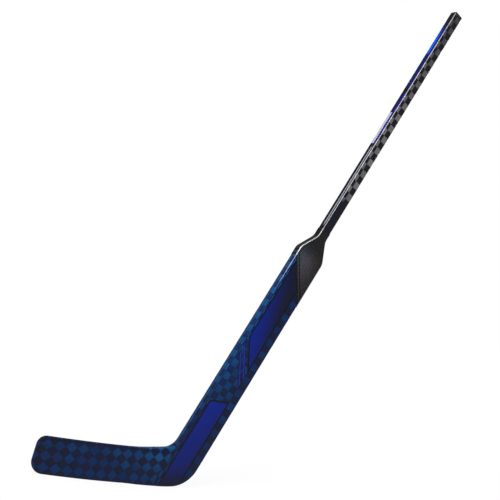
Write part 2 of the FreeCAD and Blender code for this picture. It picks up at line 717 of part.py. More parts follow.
NODES = (
    blade_front_skin,
    blade_back_skin,
    blade_edge_wrap,
    blade_upper_core,
    blade_lower_core,
    blade_rib,
    heel_tongue,
    paddle_front_skin,
    paddle_back_skin,
    paddle_toe_rail,
    paddle_heel_rail,
    paddle_toe_core,
    paddle_heel_core,
    paddle_spine,
    shoulder_block,
    shaft_tenon,
    shoulder_grip,
    shaft_tube,
    end_plug,
)

for item in doc.Objects:
    if "Invalid" in item.State or "Error" in item.State:
        raise RuntimeError(f"{item.Label} failed: {item.State}")
os.makedirs("parts", exist_ok=True)
for node in NODES:
    if node.Shape.isNull() or not node.Shape.isValid():
        raise RuntimeError(f"{node.Label} has no valid shape")
    node.Shape.exportStep(f"parts/{node.Label}.step")
    print(node.Label, len(node.Shape.Solids), round(node.Shape.Volume, 1))
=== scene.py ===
"""Looks of a goalkeeper's ice hockey stick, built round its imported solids.

The blade and the paddle wear a lacquered check of flat carbon tapes with painted panels,
the shoulder a ribbed rubber cover, and the shaft a grey check with a coloured narrow side.
Lengths in the classes are millimetres in the stick's own frame, and meshes are in metres.
"""

import logging
import math
from dataclasses import dataclass, field
from enum import Enum
from typing import Any, Sequence, Union

import bmesh
import bpy
from mathutils import Matrix, Vector


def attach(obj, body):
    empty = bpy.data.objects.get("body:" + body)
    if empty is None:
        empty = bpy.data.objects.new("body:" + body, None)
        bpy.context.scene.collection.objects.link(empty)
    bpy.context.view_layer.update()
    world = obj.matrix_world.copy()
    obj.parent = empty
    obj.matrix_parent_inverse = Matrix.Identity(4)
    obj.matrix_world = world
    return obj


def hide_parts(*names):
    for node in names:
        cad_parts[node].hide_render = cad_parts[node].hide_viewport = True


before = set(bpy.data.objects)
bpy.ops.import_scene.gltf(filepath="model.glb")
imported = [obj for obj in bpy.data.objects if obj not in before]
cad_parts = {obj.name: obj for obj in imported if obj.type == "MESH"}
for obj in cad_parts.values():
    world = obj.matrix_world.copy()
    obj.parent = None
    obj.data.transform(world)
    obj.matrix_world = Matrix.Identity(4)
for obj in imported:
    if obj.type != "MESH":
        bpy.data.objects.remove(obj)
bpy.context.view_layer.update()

log = logging.getLogger("stick")

MM = 0.001
LEAN = math.radians(23.6)
UP_SHAFT = Vector((math.sin(LEAN), 0.0, math.cos(LEAN)))
TO_TOE = Vector((-math.cos(LEAN), 0.0, math.sin(LEAN)))
HEEL_X = 80.0
HALF_PADDLE = 42.0
HALF_DEPTH = 11.25
COVER_FACE = 12.2
BEAD_INSET = 8.0
WELD = 1e-6

Colour = tuple[float, float, float, float]
Triple = tuple[float, float, float]
Span = tuple[float, float]
Pair = tuple[Colour, Colour]
Names = tuple[str, ...]
Settings = dict[str, Any]
Sockets = dict[Union[str, int], Any]
WHITE: Colour = (1.0, 1.0, 1.0, 1.0)


class Body(Enum):
    """The two bodies that pieces ride on."""

    STICK = "stick"
    PLUG = "plug"


class Side(Enum):
    """The two wide faces of the stick, by the sign of their outward Y."""

    FRONT = -1.0
    BACK = 1.0


def spot(along: float, across: float, y: float) -> Vector:
    """Places a point, in metres, by mm up the shaft, from its middle to the toe side, and along Y."""
    point = Vector((HEEL_X, y, 0.0)) + UP_SHAFT * along + TO_TOE * (HALF_PADDLE + across)
    return point * MM


def tint(red: float, green: float, blue: float) -> Colour:
    """Turns a colour of 0 to 255 screen values into linear values.

    Args:
        red, green, blue: The screen values.

    Returns:
        The linear colour with full alpha.
    """
    shares = [value / 255.0 for value in (red, green, blue)]
    linear = [c / 12.92 if c <= 0.04045 else ((c + 0.055) / 1.055) ** 2.4 for c in shares]
    return (linear[0], linear[1], linear[2], 1.0)


# Sheen that the outer finishes share, the same all over each of them
SATIN = {"Coat Roughness": 0.28, "Coat IOR": 2.0, "Specular IOR Level": 0.12}

Number = Union["Term", float]


class Term:
    """A socket of a node tree that Python's operators and a few named steps work on."""

    def __init__(self, graph: "Graph", socket: bpy.types.NodeSocket) -> None:
        """Keeps the tree and the socket."""
        self.graph = graph
        self.socket = socket

    def __add__(self, other: Number) -> "Term":
        """Adds."""
        return self.graph.math("ADD", self, other)

    def __radd__(self, other: Number) -> "Term":
        """Adds from the right."""
        return self.graph.math("ADD", other, self)

    def __sub__(self, other: Number) -> "Term":
        """Subtracts."""
        return self.graph.math("SUBTRACT", self, other)

    def __rsub__(self, other: Number) -> "Term":
        """Subtracts from the right."""
        return self.graph.math("SUBTRACT", other, self)

    def __mul__(self, other: Number) -> "Term":
        """Multiplies."""
        return self.graph.math("MULTIPLY", self, other)

    def __rmul__(self, other: Number) -> "Term":
        """Multiplies from the right."""
        return self.graph.math("MULTIPLY", other, self)

    def low(self, other: Number) -> "Term":
        """Takes the lower of two values."""
        return self.graph.math("MINIMUM", self, other)

    def high(self, other: Number) -> "Term":
        """Takes the higher of two values."""
        return self.graph.math("MAXIMUM", self, other)

    def floor(self) -> "Term":
        """Rounds down."""
        return self.graph.math("FLOOR", self)

    def fract(self) -> "Term":
        """Keeps the part after the point."""
        return self.graph.math("FRACT", self)

    def size(self) -> "Term":
        """Drops the sign."""
        return self.graph.math("ABSOLUTE", self)

    def above(self, other: Number) -> "Term":
        """Gives 1 where the value is over another."""
        return self.graph.math("GREATER_THAN", self, other)

    def rise(self, start: float, end: float) -> "Term":
        """Goes smoothly from 0 to 1 between two values.

        Args:
            start: Value at which the result is 0.
            end: Value at which the result is 1, which may be the lower one.

        Returns:
            The smoothed share.
        """
        if end < start:
            return 1.0 - self.rise(end, start)
        return self.graph.term(
            "ShaderNodeMapRange",
            {"interpolation_type": "SMOOTHSTEP"},
            {"Value": self, "From Min": start, "From Max": end},
        )


class Graph:
    """A node tree, filled through expressions and one method for any other node.

    Args:
        name: Name of the new material, where no holder is given.
        holder: What holds the tree, such as a world, or a tree of Geometry Nodes itself.
    """

    def __init__(self, name: str, holder: Union[bpy.types.ID, None] = None) -> None:
        """Starts an empty tree."""
        self.holder = holder or bpy.data.materials.new(name)
        if isinstance(self.holder, bpy.types.NodeTree):
            self.tree = self.holder
        else:
            self.holder.use_nodes = True
            self.tree = self.holder.node_tree
        self.tree.nodes.clear()

    def node(self, kind: str, settings: Settings, sockets: Sockets) -> bpy.types.Node:
        """Adds a node.

        Args:
            kind: The node's type name.
            settings: Its properties, set before its sockets.
            sockets: Values or links of its sockets, by name or place.

        Returns:
            The new node.
        """
        made = self.tree.nodes.new(kind)
        for key, value in settings.items():
            setattr(made, key, value)
        for key, value in sockets.items():
            if isinstance(value, Term):
                self.tree.links.new(value.socket, made.inputs[key])
            else:
                made.inputs[key].default_value = value
        return made

    def term(
        self, kind: str, settings: Settings, sockets: Sockets, output: Union[str, int] = 0
    ) -> Term:
        """Adds a node and wraps one of its outputs, by name or place."""
        return Term(self, self.node(kind, settings, sockets).outputs[output])

    def math(self, operation: str, *values: Number) -> Term:
        """Adds a Math node on the given values."""
        return self.term("ShaderNodeMath", {"operation": operation}, dict(enumerate(values)))

    def mix(self, share: Number, first: Any, second: Any) -> Term:
        """Mixes two colours or links, by the share of the second one."""
        colours = {0: share, 6: first, 7: second}
        return self.term("ShaderNodeMix", {"data_type": "RGBA"}, colours, 2)

    def vector(self, x: Number, y: Number, z: Number) -> Term:
        """Joins three values into a vector."""
        return self.term("ShaderNodeCombineXYZ", {}, {0: x, 1: y, 2: z})

    def parts(self, vector: Term) -> tuple[Term, Term, Term]:
        """Splits a vector into its three values."""
        made = self.node("ShaderNodeSeparateXYZ", {}, {0: vector})
        return tuple(Term(self, output) for output in made.outputs)

    def noise(self, place: Term, scale: float, detail: float = 2.0) -> Term:
        """Reads soft noise of about 0 to 1 at a place."""
        sockets = {"Vector": place, "Scale": scale, "Detail": detail}
        return self.term("ShaderNodeTexNoise", {}, sockets)

    def chance(self, place: Term) -> Term:
        """Reads one random share for each whole-number place."""
        kind = {"noise_dimensions": "3D"}
        return self.term("ShaderNodeTexWhiteNoise", kind, {"Vector": place}, "Value")

    def place(self) -> tuple[Term, Term, Term]:
        """Reads the surface point in the stick's frame, as X, Y and Z in millimetres."""
        point = self.term("ShaderNodeTexCoord", {}, {}, "Object")
        return tuple(part * (1.0 / MM) for part in self.parts(point))

    def seen(self) -> Term:
        """Marks what the camera sees at first hand."""
        return self.term("ShaderNodeLightPath", {}, {}, "Is Camera Ray")

    def mirrored(self) -> Term:
        """Marks what is seen in a mirror or through glass."""
        glossy = self.term("ShaderNodeLightPath", {}, {}, "Is Glossy Ray")
        return glossy.high(self.term("ShaderNodeLightPath", {}, {}, "Is Transmission Ray"))

    def bump(self, height: Term, strength: float, depth: float) -> Term:
        """Turns a height share into a normal, by its strength and its full depth in mm."""
        sockets = {"Height": height, "Strength": strength, "Distance": depth * MM}
        return self.term("ShaderNodeBump", {}, sockets)

    def surface(self, sockets: Sockets) -> bpy.types.Material:
        """Ends the tree in a Principled shader.

        Args:
            sockets: Values or links of the shader's sockets.

        Returns:
            The finished material.
        """
        shader = self.term("ShaderNodeBsdfPrincipled", {}, sockets)
        self.node("ShaderNodeOutputMaterial", {}, {0: shader})
        return self.holder


@dataclass
class StickPlace:
    """A surface point by the shaft's own axes, in mm, as shader terms.

    Args:
        graph: The tree that the terms belong to.
        rim_inner: Distances behind a wide face over which the polished rim starts.
        rim_outer: Distances behind a wide face over which it ends.
        rim_foot: Heights over which the rim fades in above the heel.
    """

    graph: Graph
    rim_inner: Span = (4.2, 3.2)
    rim_outer: Span = (0.05, 0.25)
    rim_foot: Span = (60.0, 140.0)
    x: Term = field(init=False)
    y: Term = field(init=False)
    z: Term = field(init=False)
    along: Term = field(init=False)
    across: Term = field(init=False)
    depth: Term = field(init=False)
    point: Term = field(init=False)

    def __post_init__(self) -> None:
        """Works out the terms from the object's coordinates."""
        self.x, self.y, self.z = self.graph.place()
        run = self.x - HEEL_X
        self.along = run * UP_SHAFT.x + self.z * UP_SHAFT.z
        self.across = run * TO_TOE.x + self.z * TO_TOE.z - HALF_PADDLE
        self.depth = (self.y + HALF_DEPTH).high(0.0).low(2.0 * HALF_DEPTH)
        self.point = self.graph.vector(self.x, self.y, self.z)

    def rim(self, face: float) -> Term:
        """Marks the polished rounding between a wide face and a narrow side.

        Args:
            face: Distance of the wide face from the middle plane.

        Returns:
            Share of polish.
        """
        out = self.y.size()
        starts = out.rise(*(face - inset for inset in self.rim_inner))
        ends = out.rise(*(face - inset for inset in self.rim_outer))
        return starts * ends * self.along.rise(*self.rim_foot)


@dataclass
class TapeCheck:
    """A plain weave of flat tapes, by tile coordinates.

    Args:
        graph: The tree that the terms belong to.
        u: First tile coordinate, one tile to a unit.
        v: Second tile coordinate.
        sway: How far the tapes wander, in tiles.
        sway_pitch: How often they wander.
        gap_width: Width of the dark rim of a tile.
        split_share: Chance over which a tile has a seam.
        seam_start, seam_range: Where seams lie across their tiles, by chance.
        seam_width: Distances from its middle over which a seam shows.
        shade_layer, split_layer: Layers of chance for a tile's shade and for its seam.
        fibre_pitch: How often the fibre changes along a tape and across it.
    """

    graph: Graph
    u: Term
    v: Term
    sway: float = 0.12
    sway_pitch: float = 0.6
    gap_width: float = 0.05
    split_share: float = 0.45
    seam_start: float = 0.08
    seam_range: float = 0.25
    seam_width: Span = (0.06, 0.02)
    shade_layer: float = 3.0
    split_layer: float = 8.0
    fibre_pitch: Span = (1.2, 42.0)
    light: Term = field(init=False)
    chance: Term = field(init=False)
    gap: Term = field(init=False)
    seam: Term = field(init=False)
    fibre: Term = field(init=False)

    def __post_init__(self) -> None:
        """Works out which tape is on top, its own shade, its rims, its seams and its fibres."""
        graph, pitch = self.graph, self.sway_pitch
        drift = graph.noise(graph.vector(self.u * pitch, self.v * pitch, 1.0), 1.0, 1.0) - 0.5
        self.u, self.v = self.u + drift * self.sway, self.v - drift * self.sway
        cell_u, cell_v = self.u.floor(), self.v.floor()
        part_u, part_v = self.u - cell_u, self.v - cell_v
        self.light = 1.0 - ((cell_u + cell_v) * 0.5).fract().above(0.25)
        self.chance = graph.chance(graph.vector(cell_u, cell_v, self.shade_layer))
        rim = part_u.low(1.0 - part_u).low(part_v.low(1.0 - part_v))
        self.gap = rim.rise(self.gap_width, 0.0)
        split = graph.chance(graph.vector(cell_u, cell_v, self.split_layer))
        away = (part_u - split * self.seam_range - self.seam_start).size()
        self.seam = away.rise(*self.seam_width) * split.above(self.split_share)
        slow, fast = self.fibre_pitch
        lengthwise = graph.noise(graph.vector(self.u * slow, self.v * fast, 0.0), 1.0, 3.0)
        crosswise = graph.noise(graph.vector(self.u * fast, self.v * slow, 7.0), 1.0, 3.0)
        self.fibre = self.light * lengthwise + (1.0 - self.light) * crosswise


@dataclass(frozen=True)
class WovenCarbon:
    """Blue and black tape check under satin lacquer, with the paddle's painted panels.

    Args:
        tile, along_start, across_start: Side of the paddle's tiles and where their rows lie.
        blade_run, blade_rise: Diagonals of the blade's tiles, along and up the blade.
        blade_x, blade_z: Where a corner of the blade's tiles lies.
        weave_turn: Place across at which the weave turns onto its corners.
        panel_heel_side, panel_toe_side: Side borders of both panels.
        lower_cut, lower_slant: Height and slope of the lower panel's end.
        upper_cut, upper_slant: Height and slope of the upper panel's start.
        lower_square, upper_square: Share of a height that counts square to these ends.
        outline: Half the width of the panels' dark outline.
        stripe_offsets, stripe_half: Places and half the width of the pinstripes.
        stripe_edging: Distances over which a pinstripe's dark edging starts.
        soft: Half the width over which a painted border fades.
        blade_half: Half the blade's thickness.
        bend_start, bend_end, bend_radius, sweep_slope: The curve by which the blade sweeps back.
        upper_span: Heights over which the paddle's weave turns brighter.
        toe_light_across, toe_light_along: Where painted light starts on the paddle's tapes, growing
            towards the toe side.
        lit_edge_depth, lit_edge_across: Where painted light makes the toe-side narrow face pale.
        crotch_x, crotch_z: Where the blade's tapes start to glow towards the crotch.
        toe_span: X over which the blade darkens towards its toe.
        upper_shade, lower_shade, lower_fade, sole_shade: Heights over which the paint darkens.
        shade_slant: Slope of the upper panel's darkening, which leans so that painted light keeps its
            toe side lighter.
        heel_shade_start, heel_shade_gain: Where painted shade darkens the lower panel towards the heel
            side, and how fast.
        wear_span, dull_span: Heights of the scuffs by the sole and of the dull top edge.
        polish_span: Heights over which the polished rim starts.
        pale, dark, paint: Colours of the tapes and of the panels, each from one to another.
        lit_edge_pale, lit_edge_dark: Colours of the tapes on the toe-side narrow face, paler with
            painted light.
        lit_dark, toe_dark: Colours of the dark tapes under the painted light and by the toe.
        stripe, line, scuff, gap, seam: Colours of these marks.
    """

    tile: float = 18.5
    along_start: float = 320.75
    across_start: float = -36.5
    blade_run: float = 27.0
    blade_rise: float = 26.0
    blade_x: float = -92.0
    blade_z: float = 68.0
    weave_turn: float = 45.0
    panel_heel_side: float = -17.5
    panel_toe_side: float = 31.5
    lower_cut: float = 216.3
    lower_slant: float = -0.41
    lower_square: float = 0.925
    upper_cut: float = 340.0
    upper_slant: float = 1.43
    upper_square: float = 0.573
    outline: float = 2.1
    stripe_offsets: tuple[float, ...] = (13.0, 24.0)
    stripe_half: float = 1.7
    stripe_edging: Span = (-1.5, -1.1)
    soft: float = 0.2
    blade_half: float = 5.25
    bend_start: float = -96.0
    bend_end: float = 168.0
    bend_radius: float = 792.0
    sweep_slope: float = 0.217
    upper_span: Span = (330.0, 450.0)
    toe_light_across: Span = (-30.0, 44.0)
    toe_light_along: Span = (150.0, 290.0)
    lit_edge_depth: Span = (5.0, 12.0)
    lit_edge_across: Span = (38.5, 41.5)
    crotch_x: Span = (-150.0, 0.0)
    crotch_z: Span = (10.0, 80.0)
    toe_span: Span = (-180.0, -300.0)
    upper_shade: Span = (290.0, 540.0)
    lower_shade: Span = (280.0, -120.0)
    lower_fade: Span = (300.0, 230.0)
    sole_shade: Span = (60.0, 0.0)
    shade_slant: float = 3.0
    heel_shade_start: float = 14.0
    heel_shade_gain: float = 0.006
    wear_span: Span = (5.0, 0.0)
    dull_span: Span = (74.0, 82.0)
    polish_span: Span = (500.0, 590.0)
    pale: Pair = (tint(3, 33, 76), tint(3, 72, 128))
    dark: Pair = (tint(10, 16, 38), tint(16, 26, 60))
    paint: Pair = (tint(5, 29, 126), tint(14, 18, 42))
    lit_edge_pale: Colour = tint(30, 76, 123)
    lit_edge_dark: Colour = tint(23, 57, 100)
    lit_dark: Colour = tint(5, 33, 82)
    toe_dark: Colour = tint(7, 10, 24)
    stripe: Colour = tint(28, 40, 150)
    line: Colour = tint(9, 9, 13)
    scuff: Colour = tint(80, 86, 100)
    gap: Colour = tint(8, 10, 22)
    seam: Colour = tint(7, 9, 18)

    def material(self) -> bpy.types.Material:
        """Builds the material.

        Returns:
            The finish, ready for a piece.
        """
        graph = Graph("woven_carbon")
        place = StickPlace(graph)
        check = self.check(place)
        panel, line = self.panels(place)
        stripe, edging = self.pinstripes(place)
        paint = graph.mix(self.paint_shade(place), *self.paint)
        colour = graph.mix(panel, self.weave(place, check), paint)
        colour = graph.mix(stripe, colour, self.stripe)
        colour = graph.mix(line.high(edging), colour, self.line)
        scuffs = graph.noise(place.point, 0.09, 4.0).rise(0.5, 0.75)
        wear = scuffs * place.z.rise(*self.wear_span)
        colour = graph.mix(wear * 0.4, colour, self.scuff)
        haze = graph.noise(place.point, 0.03, 3.0)
        dull = place.z.rise(*self.dull_span) * self.on_blade(place)
        rim = place.rim(HALF_DEPTH)
        bare = (1.0 - panel) * (1.0 - line) * (1.0 - rim)
        polish = rim * place.along.rise(*self.polish_span)
        relief = (check.gap * -0.7 + check.fibre * 0.5) * bare
        return graph.surface(
            {
                **SATIN,
                "Base Color": colour,
                "Roughness": haze * 0.16 + wear * 0.2 + dull * 0.4 + 0.3,
                "Coat Weight": (polish + haze * 0.04).low(1.0),
                "Normal": graph.bump(relief, 0.2, 0.1),
            }
        )

    def on_blade(self, place: StickPlace) -> Term:
        """Marks where the weave lies on its corners."""
        return place.across.above(self.weave_turn)

    def weave(self, place: StickPlace, check: TapeCheck) -> Term:
        """Colours the tapes, with painted light on the paddle's toe side and on its toe-side narrow
        face, brighter by the crotch and darker at the toe.

        Args:
            place: The surface point.
            check: The woven check.

        Returns:
            The colour of the bare weave.
        """
        graph = place.graph
        on_blade = self.on_blade(place)
        on_paddle = 1.0 - on_blade
        upper = place.along.rise(*self.upper_span)
        # Painted light: the paddle's tapes turn paler towards the toe side, as though lit from there
        glow = place.across.rise(*self.toe_light_across) * place.along.rise(*self.toe_light_along) * on_paddle
        glow = glow * (upper * 0.25 + 0.55)
        # Painted light: the toe-side narrow face is paler, as though it faced the light
        edge = place.depth.rise(*self.lit_edge_depth) * place.across.rise(*self.lit_edge_across) * on_paddle
        crotch = place.x.rise(*self.crotch_x) * place.z.rise(*self.crotch_z) * on_blade
        toe_end = place.x.rise(*self.toe_span)
        bright = check.chance * 0.4 + check.fibre * 0.35 + glow + crotch * 0.65 - 0.31
        bright = bright + upper * on_paddle * 0.08 - toe_end * 0.12
        pale = graph.mix(bright.high(0.0).low(1.0), *self.pale)
        dark = graph.mix(check.fibre * 0.7 + check.chance * 0.3, *self.dark)
        # The dark tapes take the same painted light
        dark = graph.mix((glow * 1.5).low(1.0), dark, self.lit_dark)
        dark = graph.mix(toe_end * 0.5, dark, self.toe_dark)
        # The narrow face's paler colours are painted light
        pale = graph.mix(edge, pale, self.lit_edge_pale)
        dark = graph.mix(edge, dark, self.lit_edge_dark)
        weave = graph.mix(check.light, dark, pale)
        weave = graph.mix(check.gap * (check.chance * 0.7 + 0.25), weave, self.gap)
        return graph.mix(check.seam * (0.8 - check.light * 0.45), weave, self.seam)

    def check(self, place: StickPlace) -> TapeCheck:
        """Lays the weave in line with the shaft on the paddle and on its corners on the blade.

        Args:
            place: The surface point.

        Returns:
            The woven check.
        """
        past = (self.bend_start - place.x).high(0.0)
        bent = past.low(self.bend_end)
        swept = bent * bent * (0.5 / self.bend_radius) + (past - bent) * self.sweep_slope
        deep = (place.y - swept + self.blade_half).high(0.0).low(2.0 * self.blade_half)
        run = (place.x - self.blade_x) * (1.0 / self.blade_run)
        climb = (place.z + deep - self.blade_z) * (1.0 / self.blade_rise)
        on_blade = self.on_blade(place)
        on_paddle = 1.0 - on_blade
        wrapped = place.across + place.depth - self.across_start
        u = (run + climb + 0.5) * on_blade
        v = (run - climb + 0.5) * on_blade
        u = u + (place.along - self.along_start) * (1.0 / self.tile) * on_paddle
        v = v + wrapped * (1.0 / self.tile) * on_paddle
        return TapeCheck(place.graph, u, v)

    def inside(self, place: StickPlace) -> Term:
        """Gives the distance within both panels' borders."""
        return (place.across - self.panel_heel_side).low(self.panel_toe_side - place.across)

    def beyond(self, place: StickPlace) -> Term:
        """Gives the distance past the upper panel's start, square to it."""
        start = place.across * self.upper_slant
        return (place.along - self.upper_cut - start) * self.upper_square

    def panels(self, place: StickPlace) -> tuple[Term, Term]:
        """Marks out the two painted panels.

        Args:
            place: The surface point.

        Returns:
            Where a panel is and where its outline is.
        """
        below = self.lower_cut + place.across * self.lower_slant - place.along
        reach = self.inside(place).low((below * self.lower_square).high(self.beyond(place)))
        line = reach.size().rise(self.outline + self.soft, self.outline - self.soft)
        return reach.rise(-self.soft, self.soft), line

    def paint_shade(self, place: StickPlace) -> Term:
        """Darkens the panels' paint towards the cover and the sole, and as painted shade towards the
        heel side, leaving painted light on the toe side.

        Args:
            place: The surface point.

        Returns:
            Share of the deep paint.
        """
        # Painted light and shade: the upper panel's darkening leans so that its toe side stays lighter
        shade = (place.along - place.across * self.shade_slant).rise(*self.upper_shade)
        # Painted shade: the lower panel darkens towards the heel side
        heel_shade = (self.heel_shade_start - place.across) * self.heel_shade_gain
        low_end = place.along.rise(*self.lower_shade) * 0.7 + heel_shade
        shade = (shade + low_end * place.along.rise(*self.lower_fade)).high(0.0).low(1.0)
        return shade + (1.0 - shade) * place.z.rise(*self.sole_shade)

    def pinstripes(self, place: StickPlace) -> tuple[Term, Term]:
        """Marks two plain slanted stripes beside the upper panel's end.

        Args:
            place: The surface point.

        Returns:
            Where a stripe is and where its dark edging is.
        """
        beyond = self.beyond(place)
        near = (beyond + self.stripe_offsets[0]).size()
        for offset in self.stripe_offsets[1:]:
            near = near.low((beyond + offset).size())
        reach = (self.stripe_half - near).low(self.inside(place))
        edging = reach.rise(*self.stripe_edging) * reach.rise(self.soft, -self.soft)
        return reach.rise(-self.soft, self.soft), edging


@dataclass(frozen=True)
class ShaftCarbon:
    """Black lacquered tube with a grey check on its wide faces and colour on one narrow side.

    Args:
        tile, along_start, across_start: Side of the tiles and where their rows lie.
        check_start: Heights over which the check starts above the plain foot.
        dim_span: Heights over which the pale tapes dim towards the butt.
        corner: Depths over which a wide face turns into a narrow side.
        split, inset: Depths at which the narrow side's inner bands end and start.
        patch, silver, blue: Heights of the two ends of these bands; the middle one is a pale band of
            painted highlight beside the ridge.
        accent_end: Upper end of the deep blue band, which starts with the patch.
        navy_start: Lower end of the navy ground.
        tube_end: Height of the tube's end face.
        black, pale: Colours of the tapes, each from one to another.
        dim, plain: Colours of the pale tapes by the butt and of the bare narrow sides.
    """

    tile: float = 18.7
    along_start: float = 805.3
    across_start: float = 3.75
    check_start: Span = (808.0, 826.0)
    dim_span: Span = (1050.0, 1420.0)
    corner: Span = (2.0, 3.4)
    split: Span = (9.6, 10.4)
    inset: Span = (5.0, 5.8)
    patch: Span = (997.0, 1100.0)
    accent_end: float = 1165.0
    painted_highlight: Span = (735.0, 985.0)
    navy_start: float = 1185.0
    blue: Span = (1302.0, 1397.0)
    tube_end: float = 1444.0
    black: Pair = (tint(13, 14, 22), tint(31, 33, 43))
    pale: Pair = (tint(76, 74, 76), tint(116, 112, 112))
    dim: Colour = tint(48, 48, 51)
    plain: Colour = tint(13, 13, 17)

    def material(self) -> bpy.types.Material:
        """Builds the material.

        Returns:
            The finish, ready for a piece.
        """
        graph = Graph("shaft_carbon")
        place = StickPlace(graph)
        u = (place.along - self.along_start) * (1.0 / self.tile)
        v = (place.across - self.across_start) * (1.0 / self.tile)
        check = TapeCheck(graph, u, v)
        woven = place.along.rise(*self.check_start)
        black = graph.mix(check.fibre, *self.black)
        pale = graph.mix(check.fibre * 0.7 + check.chance * 0.3, *self.pale)
        pale = graph.mix(place.along.rise(*self.dim_span) * 0.8, pale, self.dim)
        face = graph.mix(check.light * (1.0 - check.gap * 0.4) * woven, black, pale)
        far_corner = (2.0 * HALF_DEPTH - inset for inset in self.corner)
        narrow = place.depth.rise(*self.corner) * place.depth.rise(*far_corner)
        colour = graph.mix(narrow, face, self.plain)
        colour = graph.mix(narrow * place.across.above(0.0), colour, self.bands(place))
        haze = graph.noise(place.point, 0.04, 3.0)
        rim = place.rim(HALF_DEPTH) * place.along.rise(self.tube_end, self.tube_end - 0.6)
        return graph.surface(
            {
                **SATIN,
                "Base Color": colour,
                "Roughness": haze * 0.12 + 0.26,
                "Coat Weight": rim * 0.95 + haze * 0.04,
                "Normal": graph.bump((check.fibre - check.gap) * (1.0 - rim), 0.12, 0.08),
            }
        )

    def bands(self, place: StickPlace) -> Term:
        """Colours the toe-side narrow face with plain bands and a pale band of painted highlight.

        Args:
            place: The surface point.

        Returns:
            The colour of that face.
        """
        outer = place.depth.rise(*self.split)
        inner = place.depth.rise(*self.split[::-1]) * place.depth.rise(*self.inset)
        blue_end = self.blue[1]
        fade = place.along.rise(blue_end + 10.0, blue_end - 50.0)
        layers = (
            (self.between(place, self.navy_start, blue_end + 8.0, 8.0), tint(3, 18, 84)),
            (self.between(place, *self.blue, 5.0) * outer * fade, tint(2, 80, 228)),
            (self.between(place, *self.patch, 0.6) * outer, tint(176, 178, 183)),
            (self.between(place, self.patch[0], self.accent_end, 0.6) * inner, tint(4, 10, 160)),
            # Painted highlight: a pale band beside the ridge on the lower shaft, standing for a glossy
            # streak
            (self.between(place, *self.painted_highlight, 6.0) * inner, tint(140, 146, 160)),
        )
        side: Any = self.plain
        for share, shade in layers:
            side = place.graph.mix(share, side, shade)
        return side

    def between(self, place: StickPlace, start: float, end: float, soft: float) -> Term:
        """Marks a length of the shaft, whose ends fade over the soft length to both sides."""
        return place.along.rise(start - soft, start + soft) * place.along.rise(end + soft, end - soft)


@dataclass(frozen=True)
class RubberCover:
    """Black moulded rubber with painted light and a painted sheen of hue, a polished rim, and dark gaps
    with painted shadow beside its bead.

    Args:
        name: The material's name.
        deep: Colour of the rubber without painted light.
        lit_rubber: Colour of the rubber under painted light.
        crease: How strongly the dark gaps with painted shadow beside the bead show.
        warm, cool: Gains that tint the painted light as a painted sheen, towards the heel side and the
            toe side.
        hue_across: Places across over which the hue shifts.
        lit_along, lit_across, lit_foot: Where the painted light fades, towards the neck, the heel side
            and the foot.
        bead_shadow_in, bead_shadow_out: Distances from the bead at which the dark gap with painted
            shadow starts and ends.
        neck: Heights over which the rim's polish weakens.
        foot_middle, foot_slant: Height and slope of the cover's lower edge.
        polish: Refractive index of the rim's polish.
        shade: Colour of the dark gaps with painted shadow beside the bead.
    """

    name: str = "rubber_cover"
    deep: Colour = tint(18, 18, 21)
    lit_rubber: Colour = tint(62, 62, 65)
    crease: float = 0.85
    warm: Triple = (1.1, 0.96, 1.05)
    cool: Triple = (0.8, 1.05, 1.25)
    hue_across: Span = (-6.0, 28.0)
    lit_along: Span = (675.0, 612.0)
    lit_across: Span = (-55.0, 26.0)
    lit_foot: Span = (540.0, 610.0)
    bead_shadow_in: Span = (3.6, 4.4)
    bead_shadow_out: Span = (8.8, 7.8)
    neck: Span = (685.0, 705.0)
    foot_middle: float = 571.0
    foot_slant: float = 1.238
    polish: float = 2.8
    shade: Colour = tint(10, 10, 11)

    def cast(self, gains: Triple) -> tuple[float, ...]:
        """Shifts the hue of the rubber under painted light by one gain for each of red, green and blue.
        """
        return tuple(value * gain for value, gain in zip(self.lit_rubber, (*gains, 1.0)))

    def material(self) -> bpy.types.Material:
        """Builds the material.

        Returns:
            The finish, ready for a piece.
        """
        graph = Graph(self.name)
        place = StickPlace(graph)
        cloud = graph.noise(place.point, 0.022, 3.0)
        grain = graph.noise(place.point, 1.6, 3.0)
        # Painted light: the rubber is paler towards the toe side and just below the taper, darker
        # towards the neck and the foot
        lit_share = place.along.rise(*self.lit_along) * place.across.rise(*self.lit_across)
        lit_share = lit_share * (place.along.rise(*self.lit_foot) * 0.45 + 0.42)
        # Painted sheen: the painted light turns warm towards the heel side and cool towards the toe
        # side
        hue = place.across.rise(*self.hue_across)
        lit_rubber = graph.mix(hue, self.cast(self.warm), self.cast(self.cool))
        colour = graph.mix(lit_share * (cloud * 0.9 + 0.25) + grain * 0.1, self.deep, lit_rubber)
        # Painted shadow: dark lines along both sides of the bead, as dark gaps lying in shade
        up = place.along - self.foot_middle - place.across * self.foot_slant
        beside = (up - BEAD_INSET).size()
        crease = beside.rise(*self.bead_shadow_in) * beside.rise(*self.bead_shadow_out) * self.crease
        colour = graph.mix(crease, colour, self.shade)
        rim = place.rim(COVER_FACE)
        return graph.surface(
            {
                **SATIN,
                "Base Color": colour,
                "Roughness": grain * 0.15 + cloud * 0.1 + 0.42,
                "Coat Weight": rim * (1.0 - place.along.rise(*self.neck) * 0.4),
                "Coat IOR": self.polish,
                "Normal": graph.bump(grain * (1.0 - rim), 0.25, 0.1),
            }
        )


